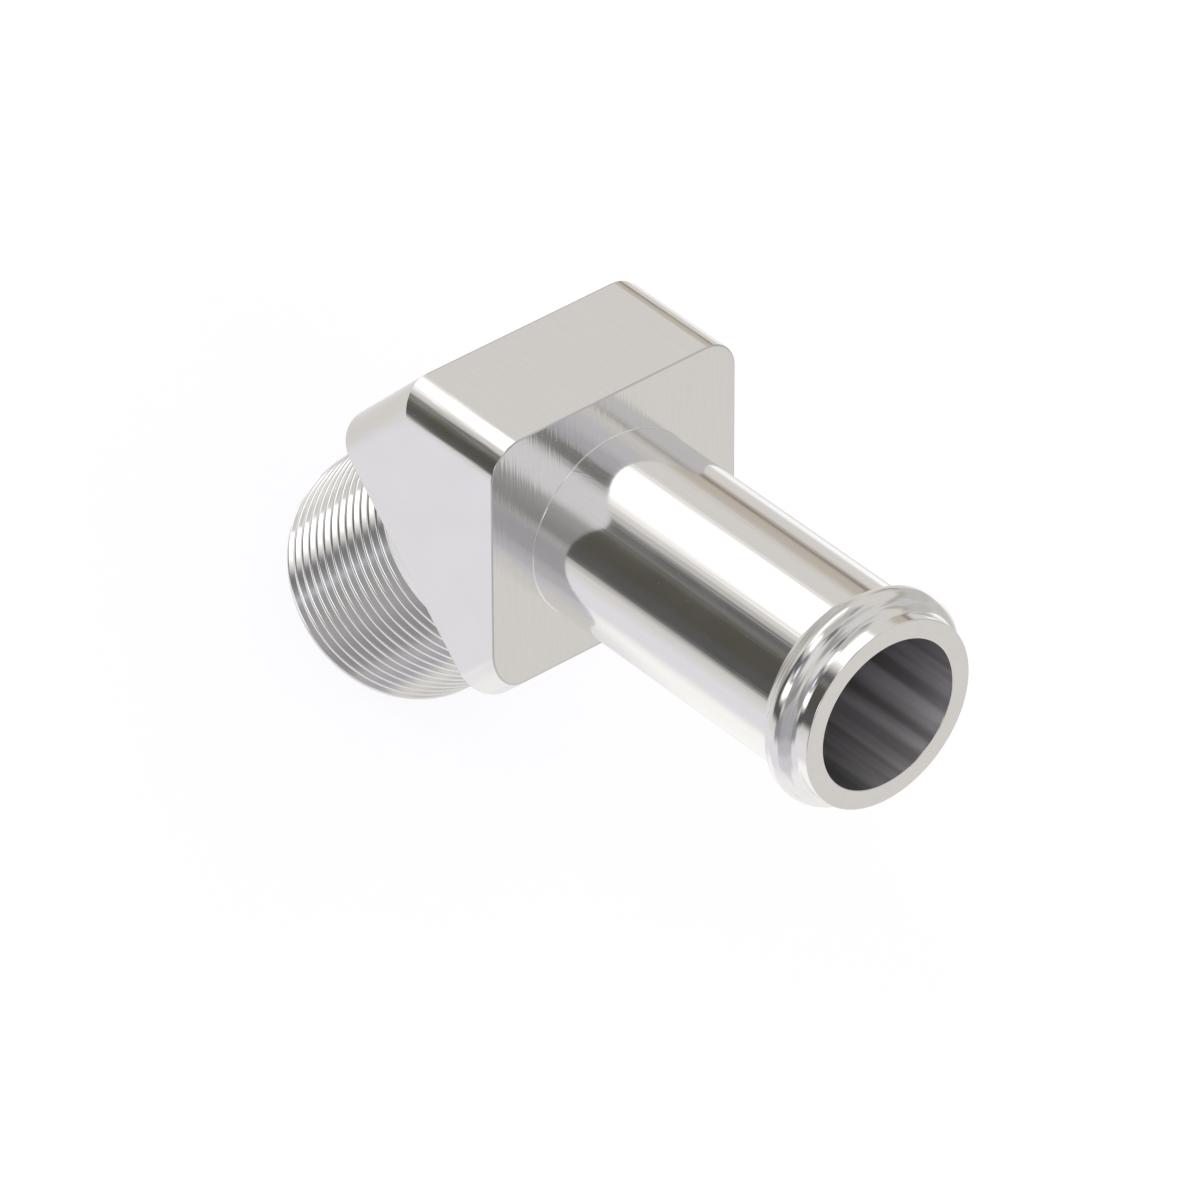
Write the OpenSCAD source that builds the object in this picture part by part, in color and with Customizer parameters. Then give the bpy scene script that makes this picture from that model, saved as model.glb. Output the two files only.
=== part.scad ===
// Hose stem elbow: a square block that turns the flow, a tapered pipe
// thread on one face and a beaded hose stem on the other, cut from one bar.
// The thread axis is the Z axis and the thread's end face is at Z = 0.

/* [Block] */
// Width of the block across its flats
block_size = 38.1; // [36:0.1:50]
// Radius of the block's long edges
block_edge_r = 4.7; // [1:0.1:8]
// Distance from the crossing of the two axes to the face that carries the stem
stem_face = 9.7; // [8:0.1:16]
// Distance from the crossing of the two axes to the face that carries the thread
port_face = 10.0; // [8:0.1:16]
// Angle through which the block turns the flow
turn = 45; // [30:1:60]

/* [Hose stem] */
// Outside diameter of the stem
stem_d = 25.4; // [24:0.1:27]
// Length of the stem from the block to its end
stem_length = 50.0; // [35:0.5:80]
// Bore of the stem
stem_bore_d = 20.2; // [12:0.1:21]
// Height of the bead over the stem
bead_rise = 1.85; // [0.8:0.05:2.4]
// Radius of the bead's crown
bead_crown_r = 2.0; // [1.5:0.1:3]
// Radius of the hollow blends on both sides of the bead
bead_blend_r = 1.55; // [1.2:0.05:3]
// Length of plain stem left in front of the bead
stem_land = 1.5; // [0.5:0.1:6]

/* [Pipe thread] */
// Diameter over the crests at the thread's end, before its chamfer
thread_d = 32.4; // [30:0.1:34]
// Distance from crest to crest
thread_pitch = 2.2087; // [1.5:0.0001:3]
// Height of the thread as a share of its pitch
thread_height_ratio = 0.8; // [0.5:0.05:0.8]
// Rise of the thread's diameter over its length
thread_taper = 0.0625; // [0:0.0025:0.1]
// Length of the threaded shank from the block to its end
shank_length = 33.7; // [25:0.1:45]
// Length of the plain neck between the block and the first thread
neck_length = 4.1; // [2:0.1:10]
// Depth of the chamfer on the thread's end
thread_chamfer = 0.3; // [0.2:0.1:3]
// Bore of the threaded end
port_bore_d = 20.2; // [12:0.1:21]

/* [Hidden] */
$fn = 96;

// Half of the angle between the flanks of a pipe thread
flank_half_angle = 30;
// Overlap that keeps joined solids and through cuts clean
overlap = 1;

block_half = block_size / 2;
elbow_z = shank_length + port_face;
stem_reach = stem_face + stem_length;
// A bar this long passes through the block whatever the turn
bar_length = 4 * block_size;

stem_r = stem_d / 2;
blend_sum_r = bead_crown_r + bead_blend_r;
bead_half_w = sqrt(2 * blend_sum_r * bead_rise - bead_rise * bead_rise);
bead_z = stem_reach - stem_land - bead_half_w;
blend_angle = acos((blend_sum_r - bead_rise) / blend_sum_r);
ARC_STEPS = 8;

thread_h = thread_height_ratio * thread_pitch;
// Width of the flat that is left on every crest
crest_flat = thread_pitch / 20;
groove_mouth = thread_pitch - crest_flat;
groove_floor = max(groove_mouth - 2 * thread_h * tan(flank_half_angle), crest_flat);
threaded_length = shank_length - neck_length;
GROOVES = floor(threaded_length / thread_pitch);

// Radius over the crests at a height above the thread's end
function crest_r(z) = thread_d / 2 + z * thread_taper / 2;

// Points of an arc, from one angle to another, about a centre
function arc(centre, r, from, to) = [
    for (i = [0 : ARC_STEPS])
        let (a = from + (to - from) * i / ARC_STEPS)
        centre + r * [cos(a), sin(a)]
];

// Half section of the stem, radius across and distance from the crossing up
module stem_section() {
    crown = [stem_r + bead_rise - bead_crown_r, bead_z];
    lower_blend = [stem_r + bead_blend_r, bead_z - bead_half_w];
    upper_blend = [stem_r + bead_blend_r, bead_z + bead_half_w];
    polygon(concat(
        [[0, stem_face - overlap], [stem_r, stem_face - overlap]],
        arc(lower_blend, bead_blend_r, 180, 180 - blend_angle),
        arc(crown, bead_crown_r, -blend_angle, blend_angle),
        arc(upper_blend, bead_blend_r, 180 + blend_angle, 180),
        [[stem_r, stem_reach], [0, stem_reach]]
    ));
}

// Half section of the ridged shank, radius across and height up
module shank_section() {
    top = shank_length + overlap;
    ridges = [
        for (i = [0 : GROOVES - 1])
            let (z = (i + 0.5) * thread_pitch)
            each [
                [crest_r(z - groove_mouth / 2), z - groove_mouth / 2],
                [crest_r(z) - thread_h, z - groove_floor / 2],
                [crest_r(z) - thread_h, z + groove_floor / 2],
                [crest_r(z + groove_mouth / 2), z + groove_mouth / 2]
            ]
    ];
    end_r = thread_d / 2 - thread_chamfer;
    intersection() {
        polygon(concat([[0, 0], [crest_r(0), 0]], ridges, [[crest_r(top), top], [0, top]]));
        // The chamfer runs outward at 45 degrees from the end face
        polygon([[0, 0], [end_r, 0], [end_r + top, top], [0, top]]);
    }
}

// Square bar with round edges, standing on the XY plane and centred on Z
module round_bar(size, edge_r, length) {
    inner = size - 2 * edge_r;
    linear_extrude(length) {
        square([size, inner], center = true);
        square([inner, size], center = true);
        for (x = [-1, 1], y = [-1, 1])
            translate([x, y] * inner / 2)
                circle(edge_r);
    }
}

// Points the local Z axis along the stem, from the crossing of the axes
module along_stem() {
    translate([0, 0, elbow_z])
        rotate([0, turn, 0])
            children();
}

// Bar along the thread, cut by the stem's face and by the stem's rounded back
module block() {
    intersection() {
        translate([0, 0, shank_length])
            round_bar(block_size, block_edge_r, bar_length);
        along_stem()
            translate([0, 0, stem_face - bar_length])
                union() {
                    round_bar(block_size, block_edge_r, bar_length);
                    translate([0, -block_half, 0])
                        cube([bar_length, block_size, bar_length]);
                }
    }
}

// Two bores that meet in a ball at the crossing of the axes
module flow_path() {
    translate([0, 0, -overlap])
        cylinder(h = elbow_z + overlap, d = port_bore_d);
    along_stem() {
        cylinder(h = stem_reach + overlap, d = stem_bore_d);
        sphere(d = max(port_bore_d, stem_bore_d));
    }
}

module hose_stem() {
    color([0.80, 0.79, 0.77])
        difference() {
            union() {
                block();
                along_stem()
                    rotate_extrude()
                        stem_section();
                rotate_extrude()
                    shank_section();
            }
            flow_path();
        }
}

hose_stem();
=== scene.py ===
"""Looks of the hose stem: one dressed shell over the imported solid, its finish, and a plain studio."""
import math

import bmesh
import bpy
import numpy as np
from mathutils import Matrix, Vector


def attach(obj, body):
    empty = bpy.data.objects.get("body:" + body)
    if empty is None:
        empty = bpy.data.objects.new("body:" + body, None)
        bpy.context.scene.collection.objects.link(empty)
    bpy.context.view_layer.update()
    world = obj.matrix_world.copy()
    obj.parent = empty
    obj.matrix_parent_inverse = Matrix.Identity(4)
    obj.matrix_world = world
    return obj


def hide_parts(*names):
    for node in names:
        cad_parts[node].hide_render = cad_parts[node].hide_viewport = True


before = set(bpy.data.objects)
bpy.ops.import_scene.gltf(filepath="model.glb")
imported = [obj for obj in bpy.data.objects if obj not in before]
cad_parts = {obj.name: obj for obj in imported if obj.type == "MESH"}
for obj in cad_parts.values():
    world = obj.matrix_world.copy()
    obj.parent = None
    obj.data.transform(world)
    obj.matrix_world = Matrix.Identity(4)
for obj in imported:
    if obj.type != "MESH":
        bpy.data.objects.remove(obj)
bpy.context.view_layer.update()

# Sizes in millimetres, the same as the solid's
MM = 0.001
BLOCK = 38.1
EDGE_R = 4.7
STEM_FACE = 9.7
PORT_FACE = 10.0
TURN = math.radians(45)
STEM_R = 12.7
STEM_REACH = STEM_FACE + 50.0
BORE_R = 10.1
BEAD_RISE = 1.85
CROWN_R = 2.0
BLEND_R = 1.55
LAND = 1.5
THREAD_R = 16.2
TAPER = 1 / 16
PITCH = 2.2087
SHANK = 33.7
NECK = 4.1

# Finer sizes that only the looks have
EDGE_BREAK = 0.18
CORNER_R = 0.14
CREST_R = 0.52
ROOT_R = 0.08
FLANK_LEAN = math.radians(50)
END_BREAK = 0.2
# Pitches over which the thread runs out into the neck, and the share of a turn at which it starts
RUNOUT = 0.5
THREAD_PHASE = 0.345

# Fineness of the mesh: columns round the axes, flats in each of the block's rounded edges, and steps
COLUMNS = 192
EDGE_FLATS = 20
BREAK_STEPS = 3
CORNER_STEPS = 5
BLEND_STEPS = 18
CROWN_STEPS = 36
BEND_STEPS = 12
CREST_STEPS = 5
ROOT_STEPS = 2
# Height of a ring round the stem's foot, which keeps the shading of the small corner below it
STEM_FOOT = 1.5
# Faces that meet at less than this are shaded as one. The ground faces keep the shallow crease where two
# rounded edges meet
SMOOTH_LIMIT = math.radians(32)
GROUND_LIMIT = math.radians(10)
# Corners closer than this are one, in the block and in the whole shell
BLOCK_WELD, SHELL_WELD = 1e-4, 2e-4
# Least cosine between a face's normal and a direction that it squarely looks along
SQUARE_ON = 0.9999

# Numbers of the finishes on the shell
GROUND, TURNED, CUT, BORED, BROKEN = range(5)

ELBOW = np.array([0.0, 0.0, SHANK + PORT_FACE])
ALONG = np.array([math.sin(TURN), 0.0, math.cos(TURN)])
LIFT = np.array([-math.cos(TURN), 0.0, math.sin(TURN)])
SIDE = np.array([0.0, 1.0, 0.0])
HALF = BLOCK / 2


# Block

def cut(bm, point, normal):
    """Cuts the closed form with a plane and caps it, keeping what lies behind the plane."""
    made = bmesh.ops.bisect_plane(
        bm, geom=bm.verts[:] + bm.edges[:] + bm.faces[:], dist=1e-7,
        plane_co=Vector(point), plane_no=Vector(normal), clear_outer=True)
    rim = [e for e in made["geom_cut"] if isinstance(e, bmesh.types.BMEdge)]
    if rim:
        bmesh.ops.contextual_create(bm, geom=rim)


def round_corner(bm, corner, u, v):
    """Cuts a corner between two planes, whose outward normals are u and v, to a radius."""
    centre = corner - (u + v) * EDGE_R
    for i in range(EDGE_FLATS):
        a = (i + 0.5) / EDGE_FLATS * math.pi / 2
        n = u * math.cos(a) + v * math.sin(a)
        cut(bm, centre + n * EDGE_R, n)


def looks_along(face, direction):
    """Whether a face squarely looks along a direction."""
    return face.normal.dot(Vector(direction)) > SQUARE_ON


def make_block(bm):
    """Cuts the elbow block from a larger cube, face by face, then breaks its sharp edges."""
    bmesh.ops.create_cube(bm, size=4 * BLOCK, matrix=Matrix.Translation(Vector(ELBOW)))
    x, z = np.array([1.0, 0, 0]), np.array([0, 0, 1.0])
    cut(bm, (0, 0, SHANK), -z)
    cut(bm, ELBOW + ALONG * STEM_FACE, ALONG)
    cut(bm, ELBOW + LIFT * HALF, LIFT)
    for s in (-1, 1):
        cut(bm, x * s * HALF, x * s)
        cut(bm, SIDE * s * HALF, SIDE * s)
    for s in (-1, 1):
        for t in (-1, 1):
            round_corner(bm, x * s * HALF + SIDE * t * HALF, x * s, SIDE * t)
        round_corner(bm, ELBOW + LIFT * HALF + SIDE * s * HALF, LIFT, SIDE * s)
    bmesh.ops.remove_doubles(bm, verts=bm.verts[:], dist=BLOCK_WELD)
    bmesh.ops.dissolve_degenerate(bm, dist=BLOCK_WELD, edges=bm.edges[:])
    # The outlines of the faces that carry the stem and the thread, and the edge between the two backs
    ends = {f for f in bm.faces if looks_along(f, ALONG) or looks_along(f, -z)}
    backs = {f for f in bm.faces if looks_along(f, LIFT) or looks_along(f, -x)}
    creases = [e for e in bm.edges if ends & set(e.link_faces) or backs == set(e.link_faces)]
    made = bmesh.ops.bevel(bm, geom=creases, offset=EDGE_BREAK, offset_type="OFFSET",
                           segments=BREAK_STEPS, profile=0.5, affect="EDGES", clamp_overlap=False)
    for f in made["faces"]:
        f.material_index = BROKEN
    # The rounding leaves a few corners a hair proud of the sides
    for v in bm.verts:
        v.co.y = min(max(v.co.y, -HALF), HALF)


def open_face(bm, normal, ring):
    """Puts a round hole in the flat face that looks along normal, and returns the hole's corners."""
    flat = max((f for f in bm.faces if looks_along(f, normal)), key=lambda f: f.calc_area())
    rim = list(flat.edges)
    bmesh.ops.delete(bm, geom=[flat], context="FACES_ONLY")
    hole = [bm.verts.new(p) for p in ring]
    loop = [bm.edges.new((a, b)) for a, b in zip(hole, hole[1:] + hole[:1])]
    bmesh.ops.triangle_fill(
        bm, use_beauty=True, use_dissolve=False, edges=rim + loop, normal=Vector(normal))
    return hole


# Round forms

def arc(cx, cy, r, start, end, steps):
    """Points of an arc, from one angle to another in degrees."""
    out = []
    for i in range(steps + 1):
        a = math.radians(start + (end - start) * i / steps)
        out.append((cx + r * math.cos(a), cy + r * math.sin(a)))
    return out


def stem_ring(r, a):
    """Points round the stem's axis at radius r and distance a from the crossing of the axes."""
    out = []
    for j in range(COLUMNS):
        t = 2 * math.pi * j / COLUMNS
        out.append(ELBOW + ALONG * a + r * (math.cos(t) * LIFT + math.sin(t) * SIDE))
    return out


def port_ring(r, z):
    """Points round the thread's axis, in the order of the stem's rings."""
    out = []
    for j in range(COLUMNS):
        t = 2 * math.pi * j / COLUMNS
        out.append(np.array([-r * math.cos(t), r * math.sin(t), z]))
    return out


def bend_ring(share):
    """Points where the two bores meet: on a ball outside the turn and on the mitre inside it."""
    b, m = TURN * share, TURN / 2
    out = []
    for j in range(COLUMNS):
        t = 2 * math.pi * j / COLUMNS
        turned = b if math.cos(t) >= 0 else m
        e = np.array([-math.cos(turned), 0.0, math.sin(turned)])
        stretch = 1.0 if math.cos(t) >= 0 else 1 / math.cos(m)
        out.append(ELBOW + BORE_R * (stretch * math.cos(t) * e + math.sin(t) * SIDE))
    return out


def bridge(bm, one, other, finish):
    """Faces between two rings of corners, with the number of their finish."""
    n = len(one)
    for j in range(n):
        k = (j + 1) % n
        bm.faces.new((one[j], one[k], other[k], other[j])).material_index = finish


def sweep(bm, first, rings, finish):
    """Joins a ring of corners to each of a list of rings in turn, and returns the last."""
    for points in rings:
        ring = [bm.verts.new(p) for p in points]
        bridge(bm, first, ring, finish)
        first = ring
    return first


def stem_outline():
    """Radius and distance from the crossing: up the plain stem, then over the bead to the bore's rim."""
    s = CROWN_R + BLEND_R
    half_w = math.sqrt(2 * s * BEAD_RISE - BEAD_RISE ** 2)
    lean = math.degrees(math.acos((s - BEAD_RISE) / s))
    bead = STEM_REACH - LAND - half_w
    f = CORNER_R
    plain = arc(STEM_R + f, STEM_FACE + f, f, 270, 180, CORNER_STEPS)[1:]
    plain += [(STEM_R, STEM_FACE + STEM_FOOT), (STEM_R, bead - half_w)]
    over = arc(STEM_R + BLEND_R, bead - half_w, BLEND_R, 180, 180 - lean, BLEND_STEPS)[1:]
    over += arc(STEM_R + BEAD_RISE - CROWN_R, bead, CROWN_R, -lean, lean, CROWN_STEPS)[1:]
    over += arc(STEM_R + BLEND_R, bead + half_w, BLEND_R, 180 + lean, 180, BLEND_STEPS)[1:]
    over += arc(STEM_R - f, STEM_REACH - f, f, 0, 90, CORNER_STEPS)
    over += arc(BORE_R + f, STEM_REACH - f, f, 90, 180, CORNER_STEPS)
    return plain, over


# Thread

def crest_r(z):
    """Radius over the crests at a height above the thread's end. The taper is on the diameter."""
    return THREAD_R + z * TAPER / 2


def groove_depth(u):
    """Depth below the crests at a distance from the nearest crest's middle, over the round crest,
    the straight flank and the round root."""
    s, c = math.sin(FLANK_LEAN), math.cos(FLANK_LEAN)
    if u < CREST_R * s:
        return CREST_R - math.sqrt(CREST_R ** 2 - u ** 2)
    left = PITCH / 2 - u
    floor = CREST_R * (1 - c) + (PITCH / 2 - CREST_R * s) * s / c
    if left < ROOT_R * s:
        return floor - ROOT_R / c + math.sqrt(ROOT_R ** 2 - left ** 2)
    return floor - left * s / c


def thread_columns():
    """For each angle round the axis, points up the shank: a right-handed thread that runs out."""
    top = SHANK - CORNER_R
    last = SHANK - NECK
    # Distances from a crest's middle to the corners of one turn's outline
    steps = [CREST_R * math.sin(FLANK_LEAN * i / CREST_STEPS) for i in range(CREST_STEPS + 1)]
    steps += [PITCH / 2 - ROOT_R * math.sin(FLANK_LEAN * i / ROOT_STEPS)
              for i in reversed(range(ROOT_STEPS + 1))]
    marks = [u - PITCH / 2 for u in steps] + [PITCH / 2 - u for u in reversed(steps[:-1])]

    def radius(z, turn):
        """Radius at a height, where the turn says how far the crests have risen there."""
        u = abs((z / PITCH - turn + 0.5) % 1 - 0.5) * PITCH
        fade = min(1.0, max(0.0, (last - z) / (RUNOUT * PITCH)))
        return min(crest_r(z) - groove_depth(u) * fade, crest_r(0) - END_BREAK + z)

    columns = []
    for j in range(COLUMNS):
        t = 2 * math.pi * j / COLUMNS
        turn = j / COLUMNS + THREAD_PHASE
        column = []
        for m in range(-2, int(SHANK / PITCH) + 2):
            for mark in marks[:-1]:
                z = min(max((m + turn + 0.5) * PITCH + mark, 0.0), top)
                r = crest_r(top) if z == top else radius(z, turn)
                column.append(np.array([r * math.cos(t), r * math.sin(t), z]))
        columns.append(column)
    return columns, len(marks) - 1


def make_thread(bm):
    """Faces of the thread; returns its end ring and its top ring, in the order of port_ring."""
    columns, step = thread_columns()
    grid = [[bm.verts.new(p) for p in c] for c in columns]
    rows = len(grid[0])
    for j in range(COLUMNS):
        k = (j + 1) % COLUMNS
        shift = step if k == 0 else 0
        for i in range(rows - 1 - shift):
            around = (grid[j][i], grid[k][i + shift], grid[k][i + 1 + shift], grid[j][i + 1])
            bm.faces.new(around).material_index = CUT
    turn = [(COLUMNS // 2 - j) % COLUMNS for j in range(COLUMNS)]
    return [grid[j][0] for j in turn], [grid[j][-1] for j in turn]


def make_fitting():
    """The whole fitting as one closed shell: block, stem, thread and the passage through them."""
    bm = bmesh.new()
    make_block(bm)
    f = CORNER_R
    # Stem and its bore
    plain, over = stem_outline()
    hole = open_face(bm, ALONG, stem_ring(STEM_R + f, STEM_FACE))
    foot = sweep(bm, hole, [stem_ring(r, a) for r, a in plain], TURNED)
    rim = sweep(bm, foot, [stem_ring(r, a) for r, a in over], CUT)
    bends = [bend_ring(1 - i / BEND_STEPS) for i in range(BEND_STEPS + 1)]
    bend = sweep(bm, rim, bends, BORED)
    # Thread and its bore
    end, top = make_thread(bm)
    neck = port_ring(crest_r(SHANK) + f, SHANK)
    hole = open_face(bm, (0, 0, -1), neck)
    rounding = arc(crest_r(SHANK) + f, SHANK - f, f, 90, 180, CORNER_STEPS)[1:-1]
    last = sweep(bm, hole, [port_ring(r, z) for r, z in rounding], CUT)
    bridge(bm, last, top, CUT)
    mouth = arc(BORE_R + f, f, f, 270, 180, CORNER_STEPS)
    rim = sweep(bm, end, [port_ring(r, z) for r, z in mouth], CUT)
    bridge(bm, rim, bend, BORED)
    bmesh.ops.remove_doubles(bm, verts=bm.verts[:], dist=SHELL_WELD)
    bmesh.ops.dissolve_degenerate(bm, dist=SHELL_WELD, edges=bm.edges[:])
    bmesh.ops.recalc_face_normals(bm, faces=bm.faces[:])
    bmesh.ops.triangulate(bm, faces=[f for f in bm.faces if len(f.verts) > 4])
    bmesh.ops.scale(bm, vec=(MM, MM, MM), verts=bm.verts[:])
    open_edges = sum(1 for e in bm.edges if len(e.link_faces) != 2)
    print("shell: faces", len(bm.faces), "open edges", open_edges)
    mesh = bpy.data.meshes.new("hose_stem_shell")
    bm.to_mesh(mesh)
    bm.free()
    smooth_normals(mesh)
    shell = bpy.data.objects.new("hose_stem_shell", mesh)
    bpy.context.scene.collection.objects.link(shell)
    return shell


def smooth_normals(mesh):
    """Shades each corner with the mean of the faces there, by area, leaving out those that turn away
    by more than the limit."""
    ground, other = math.cos(GROUND_LIMIT), math.cos(SMOOTH_LIMIT)
    count = len(mesh.polygons)
    normal = np.zeros(count * 3)
    area = np.zeros(count)
    mesh.polygons.foreach_get("normal", normal)
    mesh.polygons.foreach_get("area", area)
    normal = normal.reshape(-1, 3)
    at = [[] for _ in mesh.vertices]
    for p in mesh.polygons:
        for v in p.vertices:
            at[v].append(p.index)
    out = []
    for p in mesh.polygons:
        n = normal[p.index]
        least = ground if p.material_index == GROUND else other
        for v in p.vertices:
            near = at[v]
            m = normal[near]
            keep = (m @ n) > least
            s = (m[keep] * area[near][keep][:, None]).sum(0)
            out.append(s / max(np.linalg.norm(s), 1e-12))
    mesh.polygons.foreach_set("use_smooth", [True] * count)
    mesh.normals_split_custom_set(out)


shell = make_fitting()
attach(shell, "root")
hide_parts("hose_stem")


# Finish

class Nodes:
    """Short calls for building a node tree."""

    def __init__(self, tree):
        self.tree = tree

    def new(self, kind, **values):
        node = self.tree.nodes.new(kind)
        for k, v in values.items():
            setattr(node, k, v)
        return node

    def put(self, socket, value):
        if isinstance(value, bpy.types.NodeSocket):
            self.tree.links.new(value, socket)
        elif value is not None:
            socket.default_value = value

    def math(self, operation, a, b=None, c=None):
        node = self.new("ShaderNodeMath", operation=operation)
        for socket, value in zip(node.inputs, (a, b, c)):
            self.put(socket, value)
        return node.outputs[0]

    def vector(self, operation, a, b=None, out="Vector"):
        node = self.new("ShaderNodeVectorMath", operation=operation)
        for socket, value in zip(node.inputs, (a, b)):
            self.put(socket, value)
        return node.outputs[out]

    def remap(self, value, a, b):
        """A soft step from 0 at a to 1 at b, where a may be the larger of the two."""
        node = self.new("ShaderNodeMapRange", interpolation_type="SMOOTHSTEP")
        for name, v in (("Value", value), ("From Min", a), ("From Max", b)):
            self.put(node.inputs[name], v)
        return node.outputs["Result"]

    def mix(self, share, a, b):
        node = self.new("ShaderNodeMix", data_type="RGBA")
        self.put(node.inputs[0], share)
        self.put(node.inputs[6], a)
        self.put(node.inputs[7], b)
        return node.outputs[2]

    def noise(self, where, scale, detail):
        node = self.new("ShaderNodeTexNoise")
        self.put(node.inputs["Vector"], where)
        self.put(node.inputs["Scale"], scale)
        self.put(node.inputs["Detail"], detail)
        return node.outputs["Fac"]


# Colours of clean steel, of the dull bore and of the painted shade on its darker side, and of a broken
# edge, darkened to paint the dark line that its reflection shows
PALE = (0.892, 0.881, 0.868)
DULL = (1.0, 0.965, 1.0)
BORE_PAINTED_SHADE = (0.12, 0.12, 0.125)
EDGE_PAINTED_SHADE = (0.68, 0.675, 0.665)
# Direction of the painted light in the bore: the side that looks this way is painted lighter, the side
# that turns away is painted darker
BORE_PAINTED_LIGHT = (-0.276, -0.921, 0.276)
# Soft patches and small specks that are rougher than the rest, per metre
PATCHES, SPECKS = 110.0, 2600.0


def steel(name, roughness, streaks, lift, colour=PALE, metal=1.0, spread=0.985, painted_light_from=None):
    """Steel with fine streaks. Their frequencies are up from the stem, across it and along it, in cycles
    per metre. Lift is their height in metres, and spread is the share of the colour that the dark ones
    keep. Given the direction of a painted light, shade is painted into the colour: the steel is darker
    where it turns away from that direction."""
    mat = bpy.data.materials.new(name)
    mat.use_nodes = True
    n = Nodes(mat.node_tree)
    bsdf = mat.node_tree.nodes["Principled BSDF"]
    bsdf.inputs["Metallic"].default_value = metal
    where = n.new("ShaderNodeTexCoord").outputs["Object"]
    turned = n.new("ShaderNodeVectorRotate", rotation_type="Y_AXIS")
    n.put(turned.inputs["Vector"], where)
    turned.inputs["Angle"].default_value = -TURN
    fine = n.noise(n.vector("MULTIPLY", turned.outputs["Vector"], streaks), 1.0, 1.5)
    patch = n.remap(n.noise(where, PATCHES, 4.0), 0.35, 0.65)
    speck = n.remap(n.noise(where, SPECKS, 1.0), 0.73, 0.78)
    shade = n.mix(n.remap(fine, 0.40, 0.60), (*[c * spread for c in colour], 1), (*colour, 1))
    # Painted shade: the colour is darkened where the surface turns away from the painted light
    if painted_light_from:
        normal = n.new("ShaderNodeNewGeometry").outputs["Normal"]
        turn = n.vector("DOT_PRODUCT", normal, painted_light_from, "Value")
        shade = n.mix(n.remap(turn, -0.1, 0.7), (*BORE_PAINTED_SHADE, 1), shade)
    n.put(bsdf.inputs["Base Color"], shade)
    # The patches run from 0.85 to 1.2 times the roughness, and a speck adds 0.15 to it
    rough = n.math("MULTIPLY_ADD", patch, roughness * 0.35, roughness * 0.85)
    n.put(bsdf.inputs["Roughness"], n.math("MULTIPLY_ADD", speck, 0.15, rough))
    bump = n.new("ShaderNodeBump")
    bump.inputs["Strength"].default_value = 1.0
    bump.inputs["Distance"].default_value = lift
    n.put(bump.inputs["Height"], fine)
    n.put(bsdf.inputs["Normal"], bump.outputs["Normal"])
    return mat


FINISHES = {
    GROUND: steel("ground_steel", 0.12, (150.0, 3000.0, 150.0), 0.000018),
    TURNED: steel("turned_steel", 0.10, (2600.0, 2600.0, 25.0), 0.000009),
    CUT: steel("cut_steel", 0.09, (900.0, 900.0, 900.0), 0.000001),
    # The bore carries painted shade, darker on the side that turns away from the painted light
    BORED: steel("bored_steel_painted_shade", 0.40, (330.0, 330.0, 9.0), 0.000004, DULL, 0.15, 0.38, BORE_PAINTED_LIGHT),
    # The broken edge is rougher, and its colour is darkened to paint the dark line of its reflection
    BROKEN: steel("broken_edge_painted_shade_steel", 0.20, (900.0, 900.0, 900.0), 0.000001, EDGE_PAINTED_SHADE),
}
for number in sorted(FINISHES):
    shell.data.materials.append(FINISHES[number])


# Camera

CAM_AZ, CAM_EL, CAM_ROLL = 1.007, 59.126, 61.961
CAM_DISTANCE = 1.36484
CAM_AIM = Vector((0.01438, -0.00192, 0.04240))
CAM_LENS = 338.92

a, e, r = (math.radians(x) for x in (CAM_AZ, CAM_EL, CAM_ROLL))
back = Vector((math.sin(a) * math.cos(e), -math.cos(a) * math.cos(e), math.sin(e)))
right = Vector((math.cos(a), math.sin(a), 0))
up = back.cross(right)
right, up = right * math.cos(r) + up * math.sin(r), up * math.cos(r) - right * math.sin(r)
camera = bpy.data.objects.new("camera", bpy.data.cameras.new("camera"))
bpy.context.scene.collection.objects.link(camera)
camera.data.lens = CAM_LENS
camera.data.sensor_width = 36
camera.data.clip_start, camera.data.clip_end = 0.05, 20
camera.matrix_world = Matrix((
    (right.x, up.x, back.x, 0), (right.y, up.y, back.y, 0), (right.z, up.z, back.z, 0), (0, 0, 0, 1)))
camera.location = CAM_AIM + back * CAM_DISTANCE
bpy.context.scene.camera = camera


# Studio

def sky(n, direction):
    """Colour of the room round the object: pale walls, a white floor below, bright panels and dark gaps.
    Bearings and heights are in degrees, in a room that leans with the stem."""
    turned = n.new("ShaderNodeVectorRotate", rotation_type="Y_AXIS")
    n.put(turned.inputs["Vector"], direction)
    turned.inputs["Angle"].default_value = ROOM_LEAN
    xyz = n.new("ShaderNodeSeparateXYZ")
    n.put(xyz.inputs[0], turned.outputs["Vector"])
    x, y, z = xyz.outputs
    bearing = n.math("MULTIPLY", n.math("ARCTAN2", x, y), 180 / math.pi)
    height = n.math("MULTIPLY", n.math("ARCSINE", z), 180 / math.pi)
    colour = (*WALLS, 1)
    for shade, b, h, half_b, half_h, soft in PANELS:
        across = n.math("ABSOLUTE", n.math("WRAP", n.math("SUBTRACT", bearing, b), -180.0, 180.0))
        upward = n.math("ABSOLUTE", n.math("SUBTRACT", height, h))
        inside = n.math("MULTIPLY", n.remap(across, half_b + soft, half_b - soft),
                        n.remap(upward, half_h + soft, half_h - soft))
        colour = n.mix(inside, colour, (*shade, 1))
    return colour


ROOM_LEAN = math.radians(45)
ROOM_LEVEL = 0.887
WALLS = (0.79, 0.77, 0.745)

# Half the floor's side and the distances between which reflections pass from it to the room, in metres
FLOOR_HALF = 0.6
NEAR, FAR = 0.022, 0.042
FLOOR_PAINT = (0.5, 0.5, 0.5, 1)
GLOW = (0.97, 0.96, 1.0, 1)
# The floor's own white and its glow for the camera come to just 1, so that the object's soft shadow stays
# below it. The other is its glow in reflections
GLOW_SEEN, GLOW_MIRRORED = 0.74, 0.52

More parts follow.
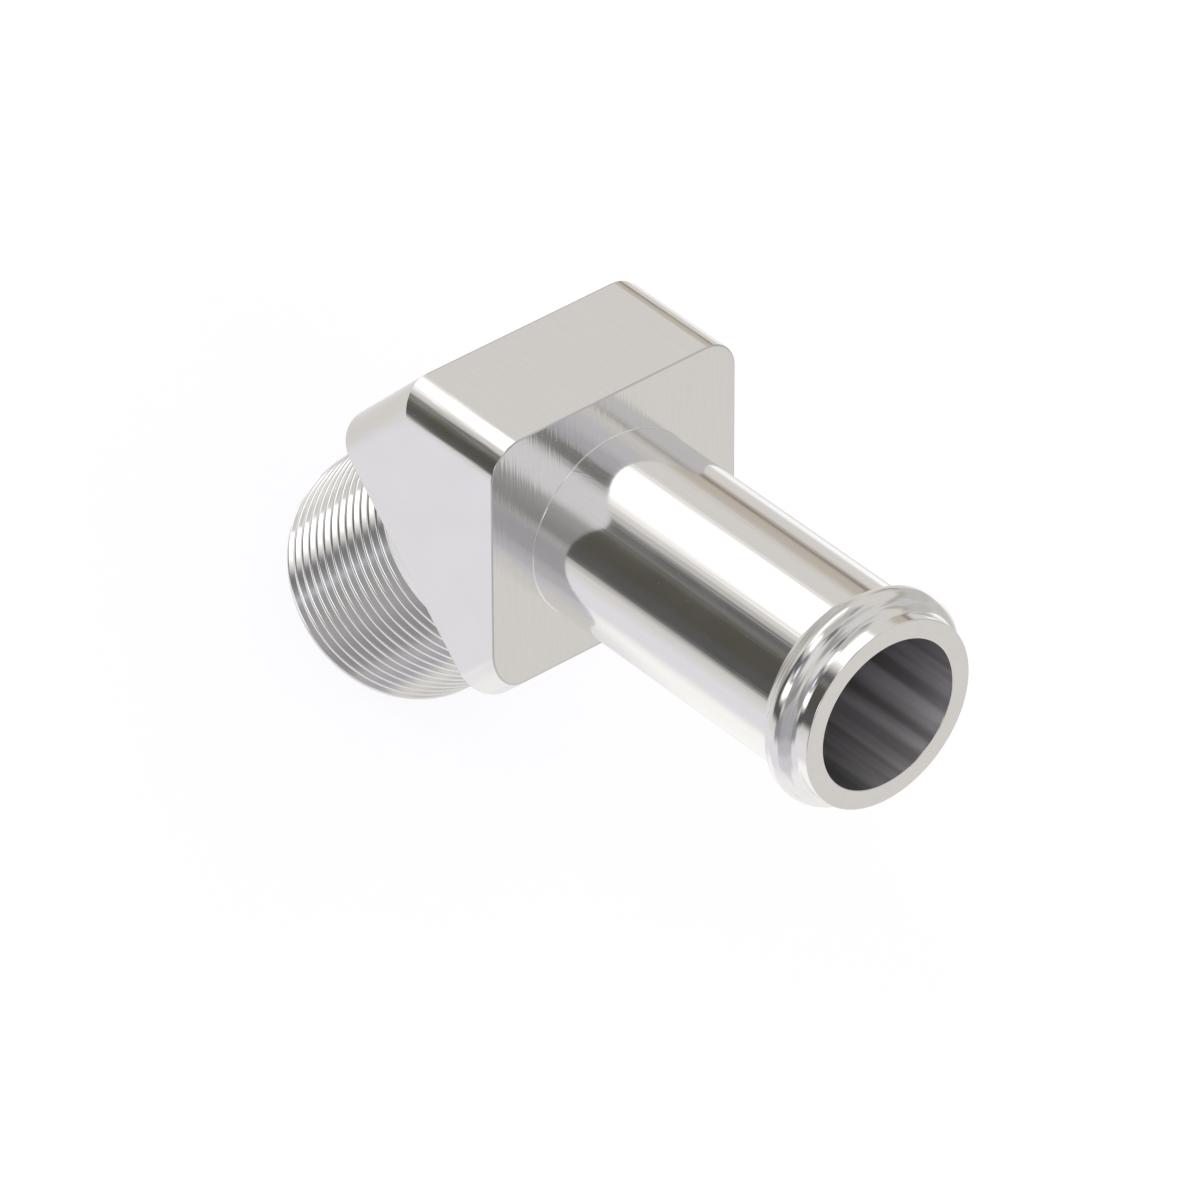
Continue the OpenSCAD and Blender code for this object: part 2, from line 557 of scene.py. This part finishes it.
# Colour, bearing, height, half width, half height and softness of each panel or gap
PANELS = (
    ((0.90, 0.89, 0.935), -150, -45, 105, 22, 8),
    ((1.05, 1.045, 1.04), 0, -75, 180, 15, 8),
    ((1.16, 1.145, 1.12), -85, -52, 48, 8, 5),
    ((0.60, 0.59, 0.57), 0, 82, 180, 14, 6),
    ((0.90, 0.90, 0.88), -85, 70, 30, 7, 6),
    ((0.42, 0.41, 0.39), 32, 69, 28, 5, 5),
    ((0.62, 0.61, 0.60), 0, 9, 30, 17, 6),
    ((0.66, 0.65, 0.63), 45, -20, 48, 11, 5),
    ((0.66, 0.66, 0.70), 60, 44, 18, 10, 6),
    ((0.52, 0.52, 0.56), 81, 50, 14, 8, 6),
    ((0.40, 0.40, 0.40), 87, 20, 8, 14, 5),
    ((0.38, 0.38, 0.385), 165, 35, 18, 13, 4),
    ((0.42, 0.415, 0.42), 150, 16, 22, 11, 5),
    ((0.22, 0.22, 0.23), 169, 47, 12, 4, 4),
    ((0.86, 0.85, 0.89), 123, 38, 18, 15, 5),
    ((0.74, 0.73, 0.77), 132, -52, 28, 6, 5),
    ((0.60, 0.59, 0.63), 132, -39, 26, 6, 5),
    ((0.46, 0.455, 0.49), 132, -20, 26, 14, 6),
    ((0.33, 0.33, 0.33), 134, 3, 24, 8, 6),
    ((0.34, 0.34, 0.35), 166, -18, 18, 12, 6),
    ((0.42, 0.41, 0.41), -108, 5, 26, 11, 7),
    ((0.100, 0.095, 0.078), -143, 13, 12, 20, 9),
    ((0.125, 0.125, 0.125), -141, 36, 12, 7, 5),
    ((0.18, 0.18, 0.19), -166, 38, 16, 8, 5),
    ((0.11, 0.11, 0.11), -163, -4, 26, 8, 5),
    ((1.60, 1.68, 1.75), -170, 15, 12, 7, 3),
    ((1.80, 1.80, 1.76), 170, 16, 9, 6, 4),
    ((1.0, 1.04, 1.18), 172, 33, 8, 5, 3),
    ((0.55, 0.54, 0.53), -80, 24, 17, 12, 9),
    ((2.0, 2.0, 2.0), -98, 54, 34, 6, 6),
    ((2.0, 2.0, 1.97), -169, 63, 26, 7, 4),
    ((0.60, 0.545, 0.475), -41, 20, 7, 10, 5),
    ((0.30, 0.26, 0.22), -36, 14, 8, 2.5, 2.5),
    ((1.3, 1.3, 1.3), -28, -18, 13, 8, 5),
    ((0.52, 0.48, 0.43), 15, 24, 24, 4, 5),
    ((0.22, 0.22, 0.21), 101, 51, 11, 11, 5),
    ((0.24, 0.24, 0.23), 120, 60, 12, 3, 4),
    ((0.66, 0.66, 0.69), 40, 1, 10, 12, 5),
    ((0.44, 0.43, 0.42), 41, 18, 8, 3, 4),
    ((0.22, 0.22, 0.22), -78, -1, 16, 7, 5),
)


def studio():
    """The room as the world's light, which the camera sees as white, and a pale floor."""
    world = bpy.data.worlds.new("studio")
    bpy.context.scene.world = world
    world.use_nodes = True
    # The room is soft enough to be found by the reflections alone, which saves working it out twice
    world.cycles.sampling_method = "NONE"
    n = Nodes(world.node_tree)
    out = world.node_tree.nodes["Background"]
    path = n.new("ShaderNodeLightPath")
    room = sky(n, n.new("ShaderNodeTexCoord").outputs["Generated"])
    out.inputs["Strength"].default_value = ROOM_LEVEL
    white = (1 / ROOM_LEVEL,) * 3
    n.put(out.inputs["Color"], n.mix(path.outputs["Is Camera Ray"], room, (*white, 1)))

    mesh = bpy.data.meshes.new("floor")
    h = FLOOR_HALF
    mesh.from_pydata([(-h, -h, 0), (h, -h, 0), (h, h, 0), (-h, h, 0)], [], [(0, 1, 2, 3)])
    floor = bpy.data.objects.new("floor", mesh)
    bpy.context.scene.collection.objects.link(floor)
    mat = bpy.data.materials.new("floor")
    mat.use_nodes = True
    n = Nodes(mat.node_tree)
    paint = n.new("ShaderNodeBsdfDiffuse")
    paint.inputs["Color"].default_value = FLOOR_PAINT
    glow = n.new("ShaderNodeEmission")
    glow.inputs["Color"].default_value = GLOW
    path = n.new("ShaderNodeLightPath")
    seen = n.math("MULTIPLY", path.outputs["Is Camera Ray"], GLOW_SEEN)
    mirrored = n.math("MAXIMUM", path.outputs["Is Glossy Ray"], path.outputs["Is Transmission Ray"])
    mirrored = n.math("MULTIPLY", mirrored, GLOW_MIRRORED)
    n.put(glow.inputs["Strength"], n.math("MAXIMUM", seen, mirrored))
    lit = n.new("ShaderNodeAddShader")
    n.put(lit.inputs[0], paint.outputs[0])
    n.put(lit.inputs[1], glow.outputs[0])
    # Reflections see the floor near the object and the room past it
    spot = n.new("ShaderNodeNewGeometry").outputs["Position"]
    far = n.remap(n.vector("DISTANCE", spot, (0.0, 0.0, 0.0), "Value"), NEAR, FAR)
    clear = n.math("MULTIPLY", far, path.outputs["Is Glossy Ray"])
    both = n.new("ShaderNodeMixShader")
    n.put(both.inputs[0], clear)
    n.put(both.inputs[1], lit.outputs[0])
    n.put(both.inputs[2], n.new("ShaderNodeBsdfTransparent").outputs[0])
    n.put(mat.node_tree.nodes["Material Output"].inputs["Surface"], both.outputs[0])
    mesh.materials.append(mat)


studio()
bpy.context.scene.view_settings.view_transform = "Standard"
